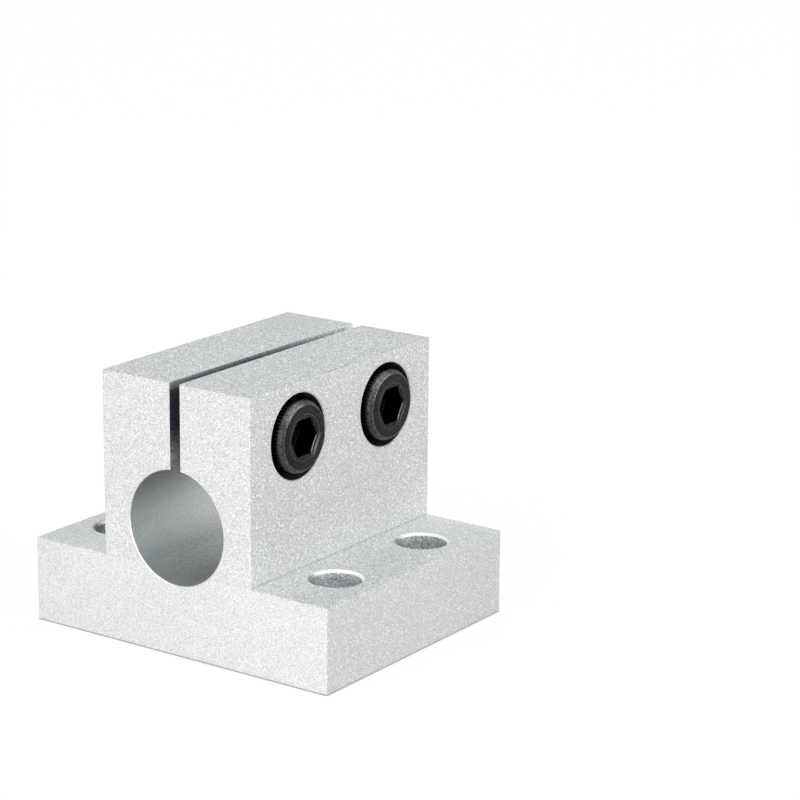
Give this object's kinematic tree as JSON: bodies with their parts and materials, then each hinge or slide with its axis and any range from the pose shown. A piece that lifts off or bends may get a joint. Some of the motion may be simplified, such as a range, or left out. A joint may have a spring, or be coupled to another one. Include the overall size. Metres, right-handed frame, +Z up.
{
  "type": "side mount shaft support",
  "caption": "T-shaped split clamp block that holds a round shaft level above a flat foot with through holes, drawn shut on the shaft by socket head cap screws.",
  "frame": {"origin": "middle of the foot's underside", "axes": "+X across the foot, towards the side with the screw heads; +Y along the shaft bore; +Z up, square to the foot"},
  "size_m": [0.05, 0.041, 0.038],
  "materials": {
    "blasted_aluminium": "bead-blasted and clear anodised, with a fine sparkling grain; the bore is machined and smoother",
    "black_oxide_steel": "black oxide, satin, with a straight knurl round the heads"
  },
  "bodies": {
    "block": {"clamp_block": "blasted_aluminium"},
    "front_screw": {"front_clamp_screw": "black_oxide_steel"},
    "rear_screw": {"rear_clamp_screw": "black_oxide_steel"}
  },
  "joints": [
    {"name": "front_screw_turn", "type": "hinge", "parent": "block", "child": "front_screw", "pos_m": [0.0075, -0.01, 0.0305], "axis": [1, 0, 0], "range_deg": [0, 450]},
    {"name": "rear_screw_turn", "type": "hinge", "parent": "block", "child": "rear_screw", "pos_m": [0.0075, 0.01, 0.0305], "axis": [1, 0, 0], "range_deg": [0, 450]}
  ]
}
